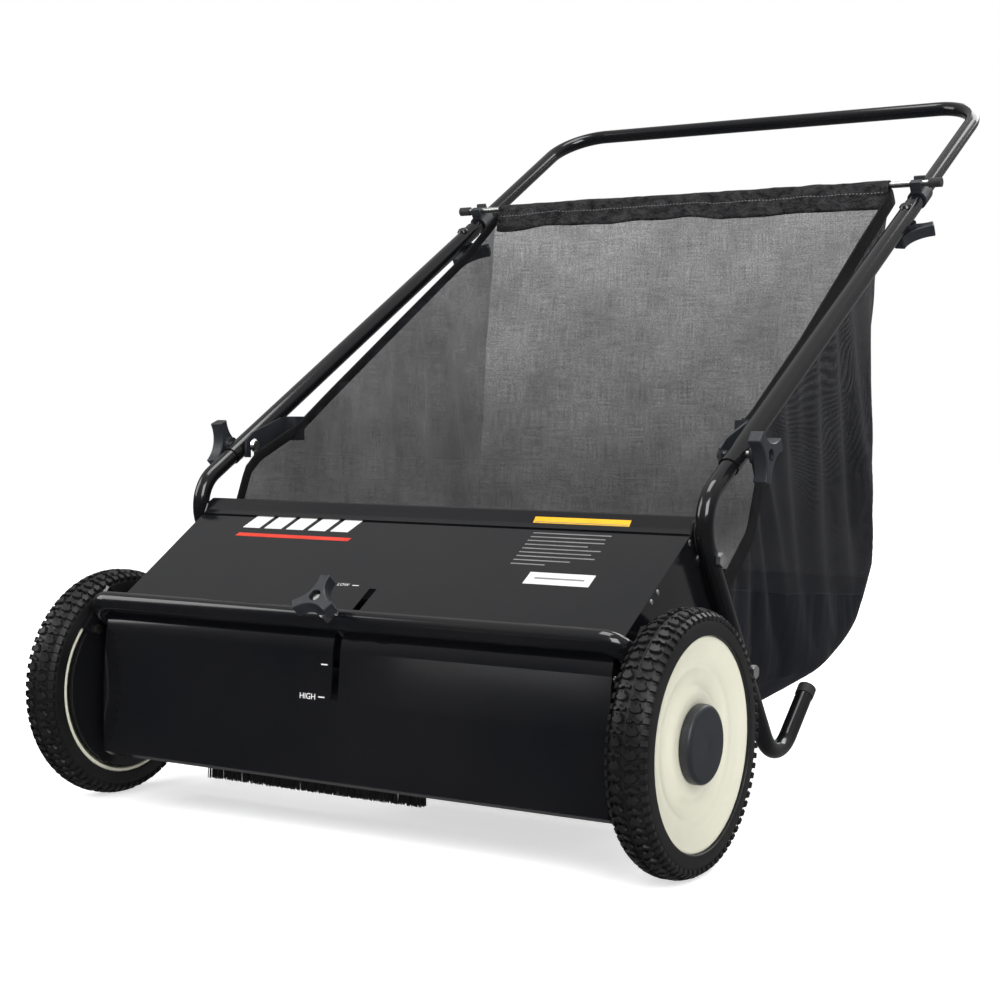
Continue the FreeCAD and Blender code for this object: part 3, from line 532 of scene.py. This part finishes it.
# ---- bag ----------------------------------------------------------------------------------------------
BAG_BACK = [(711, 710), (680, 600), (672, 430), (664, 300), (664, 232), (617, 170), (500, 137), (330, 134),
            (160, 124)]
BAG_BACK_BENDS = [60, 200, 200, 40, 34, 200, 200]
BAG_FRONTS = {
    1: [(160, 124), (146, 180), (172, 222), (225, 262), (282, 306), (303, 358), (287, 393), (250, 414), (290, 433),
        (422, 514), (605, 640), (711, 710)],
    -1: [(160, 124), (142, 190), (134, 262), (131, 322), (150, 366), (172, 384), (250, 416), (313, 456), (463, 548),
         (624, 646), (711, 710)],
}
BAG_X = 293.0
CLOTH_STEP = 12.0
CORNER_R = 24.0


def inside(outline, p):
    """Whether p lies inside a closed outline, and how far from it."""
    a, b = outline, np.roll(outline, -1, axis=0)
    edge = b - a
    t = np.clip(((p - a) * edge).sum(1) / (edge ** 2).sum(1), 0, 1)
    gap = np.linalg.norm(a + edge * t[:, None] - p, axis=1).min()
    crosses = ((a[:, 1] > p[1]) != (b[:, 1] > p[1])) & (
        p[0] < edge[:, 0] * (p[1] - a[:, 1]) / np.where(edge[:, 1] == 0, 1e-9, edge[:, 1]) + a[:, 0])
    return bool(crosses.sum() % 2), gap


def corner_radius(run, whole):
    """The bag's corner is nearly sharp at the rod and at the front of the floor, and rounded between."""
    return float(np.interp(run, (0, 90, 200, 460, 600, whole), (4, 14, CORNER_R, CORNER_R, 12, 8)))


def inward_normals(line):
    """Unit normals of the back profile, pointing into the bag."""
    ahead = np.gradient(line, axis=0)
    ahead /= np.linalg.norm(ahead, axis=1)[:, None]
    return np.stack([ahead[:, 1], -ahead[:, 0]], axis=1)


def on_corner(side, q, normal, r, angle):
    """A point on the rounded corner beside point q of the back profile."""
    in_x, in_bag = r - r * math.sin(angle), r - r * math.cos(angle)
    y, z = q + normal * in_bag
    return mm(side * (BAG_X - in_x), y, z)


def rounded_side_point(side, p, back, run, normals):
    gaps = np.linalg.norm(back - p, axis=1)
    k = int(gaps.argmin())
    j = k + 1 if k + 1 < len(back) and (k == 0 or gaps[k + 1] < gaps[k - 1]) else k - 1
    edge = back[j] - back[k]
    t = float(np.clip((p - back[k]) @ edge / (edge @ edge), 0, 1))
    q = back[k] + edge * t
    normal = normals[k] * (1 - t) + normals[j] * t
    r = corner_radius(run[k] * (1 - t) + run[j] * t, run[-1])
    s = float(np.linalg.norm(p - q))
    if s >= r:
        return mm(side * BAG_X, *p)
    return on_corner(side, q, normal / np.linalg.norm(normal), r, math.radians(90 - 45 * (1 - s / r)))


def side_panel_mesh(back, front):
    """Points (y, z) and triangles of one side panel, evenly filled."""
    outline = np.concatenate([back, front[1:-1]])
    dice = random.Random(5)
    filling = []
    low, high = outline.min(0), outline.max(0)
    rows = int((high[1] - low[1]) / (CLOTH_STEP * 0.87))
    for i in range(rows):
        z = low[1] + (i + 0.5) * CLOTH_STEP * 0.87
        y = low[0] + (i % 2) * CLOTH_STEP / 2
        while y < high[0]:
            p = np.array((y + dice.uniform(-1.5, 1.5), z + dice.uniform(-1.5, 1.5)))
            within, gap = inside(outline, p)
            if within and gap > CLOTH_STEP * 0.55:
                filling.append(p)
            y += CLOTH_STEP
    points = [Vector(p) for p in np.concatenate([outline, np.array(filling)])]
    n = len(outline)
    loop = [(i, (i + 1) % n) for i in range(n)]
    found, _, faces, _, _, _ = delaunay_2d_cdt(points, loop, [], 1, 1e-5)
    return [(p.x, p.y) for p in found], [tuple(f) for f in faces]


def bag_cloth():
    """The whole bag as one mesh before it hangs: back and floor in one strip, and the two side panels."""
    back = rounded_path(BAG_BACK, BAG_BACK_BENDS, CLOTH_STEP)
    normals = inward_normals(back)
    columns = np.linspace(-BAG_X, BAG_X, 50)
    points, faces, places, panels = [], [], [], []
    run = np.concatenate([[0], np.cumsum(np.linalg.norm(np.diff(back, axis=0), axis=1))])
    for q, normal, s in zip(back, normals, run):
        r = corner_radius(s, run[-1])
        for x in columns:
            gap = BAG_X - abs(x)
            if gap < r:
                points.append(on_corner(math.copysign(1, x), q, normal, r, math.radians(45 * (1 - gap / r))))
            else:
                points.append(mm(x, *q))
            places.append((x / 1000, s / 1000))
    n = len(columns)
    for i in range(len(back) - 1):
        for k in range(n - 1):
            faces.append((i * n + k, i * n + k + 1, (i + 1) * n + k + 1, (i + 1) * n + k))
            panels.append(0)
    for panel, side in ((1, 1), (2, -1)):
        flat, triangles = side_panel_mesh(back, resampled(BAG_FRONTS[side], CLOTH_STEP))
        first = len(points)
        for p in flat:
            points.append(rounded_side_point(side, np.array(p), back, run, normals))
            places.append((p[0] / 1000, p[1] / 1000))
        for t in triangles:
            faces.append(tuple(first + i for i in t))
            panels.append(panel)
    return points, faces, places, panels


def hold_weight(p):
    """How firmly the cloth is held at a point: 1 at the sleeve, the hems and the front edge of the floor."""
    y, z = (p.y - AXLE.y) * 1000, p.z * 1000
    if z > 690 or y < 166:
        return 1.0
    side = math.copysign(1, p.x)
    if abs(p.x) * 1000 > BAG_X - 1 and line_gap(BAG_FRONTS[side], (y, z)) < 3:
        return 1.0
    frame_line = max(0.0, 1 - abs(z - 228) / 30) if y > 640 else 0.0
    return 0.1 + 0.5 * frame_line


def line_gap(line, p):
    """The distance from p to an open polyline, in the polyline's units."""
    a, b = np.array(line[:-1], float), np.array(line[1:], float)
    edge = b - a
    t = np.clip(((np.array(p) - a) * edge).sum(1) / (edge ** 2).sum(1), 0, 1)
    return float(np.linalg.norm(a + edge * t[:, None] - np.array(p), axis=1).min())


FAR_FOLD = [(672, 655), (654, 631), (567, 529), (516, 488), (504, 418), (500, 360)]
FAR_FOLD_2 = [(560, 610), (470, 520), (360, 440), (250, 380)]
BACK_FOLD = [(190, 610), (171, 572), (142, 523), (106, 438), (90, 380)]
BACK_FOLD_2 = [(-120, 640), (-150, 540), (-215, 430), (-240, 330)]


def crease(p):
    """Soft standing folds: two on the far side panel and two on the back wall."""
    y, z = (p.y - AXLE.y) * 1000, p.z * 1000
    x = p.x * 1000
    if y > 655 and z > 240:
        fold = math.exp(-(line_gap(BACK_FOLD, (x, z)) / 13) ** 2) * 7
        fold += math.exp(-(line_gap(BACK_FOLD_2, (x, z)) / 20) ** 2) * 6
        return Vector((0, -fold / 1000, 0))
    if x < -BAG_X + 6:
        fold = math.exp(-(line_gap(FAR_FOLD, (y, z)) / 13) ** 2) * 8
        fold += math.exp(-(line_gap(FAR_FOLD_2, (y, z)) / 20) ** 2) * 5
        return Vector((fold / 1000, 0, 0))
    return Vector((0, 0, 0))


def hang(obj):
    """Lets the cloth hang from what holds it, then keeps the result as the mesh."""
    group = obj.vertex_groups.new(name="held")
    for v in obj.data.vertices:
        group.add([v.index], hold_weight(v.co), "REPLACE")
    cloth = obj.modifiers.new("hang", "CLOTH")
    s = cloth.settings
    s.quality = 5
    s.mass = 0.12
    s.tension_stiffness = 12
    s.compression_stiffness = 6
    s.shear_stiffness = 4
    s.bending_stiffness = 0.12
    s.tension_damping = 8
    s.shrink_min = -0.02
    s.vertex_group_mass = "held"
    s.pin_stiffness = 1.0
    cloth.collision_settings.use_collision = False
    cloth.point_cache.frame_start, cloth.point_cache.frame_end = 1, 40
    scene = bpy.context.scene
    scene.frame_start, scene.frame_end = 1, 40
    for f in range(1, 37):
        scene.frame_set(f)
    dg = bpy.context.evaluated_depsgraph_get()
    settled = obj.evaluated_get(dg)
    co = np.zeros(len(obj.data.vertices) * 3, np.float32)
    settled.data.vertices.foreach_get("co", co)
    obj.modifiers.remove(cloth)
    obj.vertex_groups.clear()
    obj.data.vertices.foreach_set("co", co)
    obj.data.update()
    scene.frame_set(1)


def crumple(p):
    """A gentle starting unevenness, so that the cloth finds folds as it hangs."""
    v = Vector((p.x * 9, p.y * 5, p.z * 6))
    return noise.noise_vector(v) * 0.006 + noise.noise_vector(v * 3.1) * 0.002


def make_bag():
    points, faces, places, panels = bag_cloth()
    mesh = bpy.data.meshes.new("bag_whole")
    mesh.from_pydata([tuple(p + crumple(p) * (1 - hold_weight(p))) for p in points], [], faces)
    layer = mesh.uv_layers.new(name="weave")
    for loop in mesh.loops:
        layer.data[loop.index].uv = places[loop.vertex_index]
    mark = mesh.attributes.new("panel", "INT", "FACE")
    mark.data.foreach_set("value", panels)
    whole = bmesh.new()
    whole.from_mesh(mesh)
    bmesh.ops.remove_doubles(whole, verts=whole.verts, dist=1e-4)
    bmesh.ops.recalc_face_normals(whole, faces=whole.faces)
    whole.to_mesh(mesh)
    whole.free()
    bag = bpy.data.objects.new("bag_whole", mesh)
    bpy.context.scene.collection.objects.link(bag)
    hang(bag)
    for v in mesh.vertices:
        v.co += crease(v.co) * (1 - hold_weight(v.co))
    names = ("bag_back_and_floor", "bag_side_left", "bag_side_right")
    made = []
    for k, name in enumerate(names):
        panel = panel_object(bag, name, k)
        paint(panel, MATERIALS["bag_mesh"] if k == 0 else SIDE_MESH)
        made.append(panel)
    bpy.data.objects.remove(bag)
    bpy.data.meshes.remove(mesh)
    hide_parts("bag")
    return made


def panel_object(bag, name, k):
    """One panel of the bag as its own piece, subdivided once for a smooth drape."""
    cut = bmesh.new()
    cut.from_mesh(bag.data)
    panel = cut.faces.layers.int["panel"]
    bmesh.ops.delete(cut, geom=[f for f in cut.faces if f[panel] != k], context="FACES")
    for f in cut.faces:
        f.smooth = True
    mesh = bpy.data.meshes.new(name)
    cut.to_mesh(mesh)
    cut.free()
    mesh.attributes.remove(mesh.attributes["panel"])
    obj = bpy.data.objects.new(name, mesh)
    bpy.context.scene.collection.objects.link(obj)
    finer = obj.modifiers.new("finer", "SUBSURF")
    finer.levels = finer.render_levels = 1
    finer.boundary_smooth = "PRESERVE_CORNERS"
    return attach(obj, "bag")


HEM_WIDTH = {1: 0.022, -1: 0.013}


def make_bag_trim():
    """Bound hems, and the gathered sleeve that the rod runs through."""
    trim = []
    for name, side in SIDES:
        front = resampled(BAG_FRONTS[side], CLOTH_STEP)
        hem = [mm(side * BAG_X, y, z) for y, z in front]
        inward = [Vector((0, 1, 0))] * len(hem)
        for i in range(len(hem)):
            ahead = (hem[min(i + 1, len(hem) - 1)] - hem[max(i - 1, 0)]).normalized()
            inward[i] = ahead.cross(Vector((1, 0, 0))).normalized()
        path = [p + n * (HEM_WIDTH[side] / 2 - 0.001) for p, n in zip(hem, inward)]
        trim.append(sweep("bag_hem_" + name, path, [(u, s) for s, u in oval(HEM_WIDTH[side], 0.003)], "bag", up=inward))
    for piece in trim:
        paint(piece, BINDING)
    sleeve = make_sleeve()
    paint(sleeve, GATHERED)
    trim.append(sleeve)
    stitches = make_stitches()
    paint(stitches, THREAD)
    return trim + [stitches]


HANG = Vector((0, -0.271, -0.963))
FORWARD = Vector((0, -0.963, 0.271))
SLEEVE_DROP = 0.031


def sleeve_point(x, t):
    """A point on the sleeve's closed section: t runs from the lower edge, up the front, round the rod and down."""
    ripple = noise.noise(Vector((x * 30, 3.1 + t * 2.4, 0))) * 0.0042 + noise.noise(Vector((x * 90, 7.7, t * 5))) * 0.0018
    drop = SLEEVE_DROP + noise.noise(Vector((x * 16, 0.4, 2.0))) * 0.006
    if t < 0.4:
        down = drop * (1 - t / 0.4)
        offset = 0.0019 + 0.0042 * (1 - down / drop) ** 1.5
    elif t < 0.6:
        a = math.pi * (t - 0.4) / 0.2
        return ROD_AT(x) - HANG * (0.0061 * math.sin(a) + ripple * 0.3) + FORWARD * (0.0061 * math.cos(a))
    else:
        down = drop * (t - 0.6) / 0.4
        offset = -0.0019 - 0.0042 * (1 - down / drop) ** 1.5
    pucker = ripple * math.sin(math.pi * min(1.0, down / drop + 0.25))
    return ROD_AT(x) + HANG * down + FORWARD * (offset + pucker)


def ROD_AT(x):
    return Vector((x, ROD.y, ROD.z))


def make_sleeve():
    points, faces = [], []
    columns, around = 240, 26
    for k in range(columns + 1):
        x = (-290 + 580 * k / columns) / 1000
        points += [sleeve_point(x, (i + 0.5) / around) for i in range(around)]
    for k in range(columns):
        for i in range(around):
            a, b = k * around + i, k * around + (i + 1) % around
            faces.append((a, b, b + around, a + around))
    return add_mesh("bag_sleeve", points, faces, "bag")


def make_stitches():
    """A running stitch along the sleeve, just under the rod."""
    points, faces = [], []
    x = -0.284
    while x < 0.284:
        for down in (0.0105,):
            at = 0.4 * (1 - down / SLEEVE_DROP)
            first = len(points)
            for dx, lift, rise in ((-0.0016, -0.0003, 0), (0, 0.0004, 0.0004), (0.0016, -0.0003, 0), (0, 0.0004, -0.0004)):
                points.append(sleeve_point(x + dx, at) + FORWARD * (lift + 0.0002) - HANG * rise)
            points.append(sleeve_point(x, at) - FORWARD * 0.0006)
            faces += [(first, first + 1, first + 3), (first + 1, first + 2, first + 3),
                      (first, first + 4, first + 1), (first + 1, first + 4, first + 2),
                      (first + 2, first + 4, first + 3), (first + 3, first + 4, first)]
        x += 0.0048
    return add_mesh("bag_stitches", points, faces, "bag", smooth=False)


# ---- printed marks ------------------------------------------------------------------------------------
SLOPE_TOP = (93.0, 309.0)
SLOPE_DOWN = Vector((0, -161, -101)).normalized()
SLOPE_OUT = Vector((0, -101, 161)).normalized()
RAIL_FOOT = (105.0, 317.2)
RAIL_T = 1.5
RAIL_UP = Vector((0, 12, 13.8)).normalized()
RAIL_OUT = Vector((0, -13.8, 12)).normalized()


def on_slope(x, down, lift=0.15):
    """A point on the deck's sloped top, down millimetres below its upper corner."""
    return mm(x, *SLOPE_TOP) + (SLOPE_DOWN * down + SLOPE_OUT * lift) / 1000


def on_rail(x, up, lift=0.15):
    """A point on the front face of the rail, up millimetres above its lower bend."""
    return mm(x, *RAIL_FOOT) + (RAIL_UP * up + RAIL_OUT * (RAIL_T + lift)) / 1000


def on_front(x, z, lift=0.15):
    """A point on the deck's curved front."""
    y = float(np.interp(z, (62, 140, 175), (-68, -67, -63.6)))
    return mm(x, y - lift, z)


def patch(name, corners, thickness, material):
    """A thin printed patch from four corners, given anticlockwise as seen from outside."""
    a, b, c, d = corners
    out = (b - a).cross(d - a).normalized() * (thickness / 1000)
    points = [a, b, c, d, a + out, b + out, c + out, d + out]
    faces = [(3, 2, 1, 0), (4, 5, 6, 7), (0, 1, 5, 4), (1, 2, 6, 5), (2, 3, 7, 6), (3, 0, 4, 7)]
    obj = add_mesh(name, points, faces, "chassis", smooth=False)
    paint(obj, material)
    return obj


def slope_patch(name, x0, x1, top, bottom, material, slant=0.0, lift=0.0):
    corners = (on_slope(x0 - slant, bottom, lift + 0.02), on_slope(x1 - slant, bottom, lift + 0.02),
               on_slope(x1, top, lift + 0.02), on_slope(x0, top, lift + 0.02))
    return patch(name, corners, 0.12, material)


def word(name, text, size, where, right, up):
    """A short word of the height scale, as a thin raised print."""
    curve = bpy.data.curves.new(name, "FONT")
    curve.body = text
    curve.size = size
    curve.extrude = 0.00006
    made = bpy.data.objects.new(name + "_curve", curve)
    bpy.context.scene.collection.objects.link(made)
    bpy.context.view_layer.update()
    mesh = bpy.data.meshes.new_from_object(made.evaluated_get(bpy.context.evaluated_depsgraph_get()))
    bpy.data.objects.remove(made)
    out = right.cross(up)
    turn = Matrix((right, up, out)).transposed().to_4x4()
    mesh.transform(Matrix.Translation(where) @ turn)
    obj = add_object(name, mesh, "chassis", smooth=False)
    paint(obj, WHITE_PRINT)
    return obj


def make_marks():
    """Plain stripes and blocks in the places of the labels, and the height scale's ticks and end words."""
    for k in range(5):
        x = -233 + 31 * k
        slope_patch("stripe_white_%d" % (k + 1), x, x + 24, -7.5, 14.5, WHITE_PRINT, slant=7)
    slope_patch("stripe_red", -238, -80, 24.5, 30.5, RED_PRINT, slant=2)
    band = (on_rail(131, 0.6), on_rail(244, 0.6), on_rail(244, 8.6), on_rail(131, 8.6))
    patch("label_band", band, 0.12, ORANGE_PRINT)
    edge = (on_rail(133, 1.6, 0.3), on_rail(242, 1.6, 0.3), on_rail(242, 2.4, 0.3), on_rail(133, 2.4, 0.3))
    patch("label_band_edge", edge, 0.12, GREY_PRINT)
    for k in range(9):
        length = (92, 88, 90, 74, 92, 84, 91, 66, 40)[k]
        slope_patch("label_rule_%d" % (k + 1), 138, 138 + length, -1 + 6.6 * k, 0.7 + 6.6 * k, GREY_PRINT)
    slope_patch("label_plate", 168, 243, 65, 84, WHITE_PRINT)
    slope_patch("label_plate_rule", 177, 234, 73, 75.5, GREY_PRINT, lift=0.12)
    slope_patch("tick_low", -28.5, -20.5, 104.5, 105.7, WHITE_PRINT)
    up = -SLOPE_DOWN
    word("word_low", "LOW", 0.0064, on_slope(-48.0, 107.0, 0.12), Vector((1, 0, 0)), up)
    for name, z in (("tick_high", 146.5), ("tick_middle", 179.5)):
        x = -20 if z < 160 else -18
        corners = (on_front(x, z - 0.6), on_front(x + 8, z - 0.6), on_front(x + 8, z + 0.6), on_front(x, z + 0.6))
        patch(name, corners, 0.12, WHITE_PRINT)
    word("word_high", "HIGH", 0.0085, on_front(-44, 143.4, 0.2), Vector((1, 0, 0)), Vector((0, 0.09, 1)).normalized())


# ---- stage --------------------------------------------------------------------------------------------
def make_stage():
    mesh = bpy.data.meshes.new("floor")
    mesh.from_pydata([(-9, -9, 0), (9, -9, 0), (9, 9, 0), (-9, 9, 0)], [], [(0, 1, 2, 3)])
    floor = bpy.data.objects.new("floor", mesh)
    bpy.context.scene.collection.objects.link(floor)
    paint(floor, surface("floor_paint", ((0.86, 0.86, 0.86), (0.9, 0.9, 0.9)), (0.8, 0.9), 1.0, 200.0,
                         (0.02, 0.0002), Emission_Color=(1, 1, 1, 1), Emission_Strength=0.62))
    floor.visible_glossy = False

    world = bpy.data.worlds.new("studio")
    bpy.context.scene.world = world
    world.use_nodes = True
    tree = world.node_tree
    background = tree.nodes["Background"]
    facing = tree.nodes.new("ShaderNodeTexCoord").outputs["Generated"]
    split = tree.nodes.new("ShaderNodeSeparateXYZ")
    link(tree, facing, split.inputs[0])
    overhead = spread_node(tree, split.outputs["Z"], 0.05, 0.48, (0.05, 0.75))
    behind = spread_node(tree, split.outputs["Y"], 0.0, 0.18, (0.2, 0.9))
    light = math_node(tree, "ADD", overhead, behind)
    seen = tree.nodes.new("ShaderNodeLightPath").outputs["Is Camera Ray"]
    pick = tree.nodes.new("ShaderNodeMix")
    pick.data_type = "FLOAT"
    link(tree, seen, pick.inputs["Factor"])
    link(tree, light, pick.inputs["A"])
    pick.inputs["B"].default_value = 1.0
    link(tree, pick.outputs["Result"], background.inputs["Strength"])
    background.inputs["Color"].default_value = (1, 1, 1, 1)

    lamps = (("key", (2.4, -2.6, 2.5), (2.0, 2.0), 105), ("fill", (-2.8, -1.6, 2.0), (1.8, 1.8), 42),
             ("rear", (0.6, 3.0, 2.6), (2.2, 2.2), 70), ("top", (0.0, -0.3, 3.4), (1.6, 1.6), 45),
             ("strip", (-1.1, -2.62, 0.24), (0.5, 0.03), 0.14))
    for name, place, size, watts in lamps:
        lamp = bpy.data.lights.new(name, "AREA")
        lamp.shape = "RECTANGLE"
        lamp.size, lamp.size_y = size
        lamp.energy = watts
        obj = bpy.data.objects.new(name, lamp)
        obj.location = place
        obj.rotation_mode = "QUATERNION"
        obj.rotation_quaternion = (Vector((0, 0, 0.35)) - Vector(place)).to_track_quat("-Z", "Y")
        bpy.context.scene.collection.objects.link(obj)


def make_camera():
    lens = bpy.data.cameras.new("camera")
    lens.lens = 66.81
    lens.sensor_width = 36.0
    lens.clip_end = 60
    eye = bpy.data.objects.new("camera", lens)
    yaw, pitch = math.radians(32.03), math.radians(3.24)
    back = Vector((math.sin(yaw) * math.cos(pitch), -math.cos(yaw) * math.cos(pitch), math.sin(pitch)))
    eye.location = (1.1245, -1.9772, 0.4515)
    eye.rotation_mode = "QUATERNION"
    eye.rotation_quaternion = (-back).to_track_quat("-Z", "Y")
    bpy.context.scene.collection.objects.link(eye)
    bpy.context.scene.camera = eye
    bpy.context.scene.view_settings.view_transform = "Standard"


make_camera()
make_stage()
make_wheels()
make_bristles()
panels = make_bag()
trim = make_bag_trim()
make_marks()
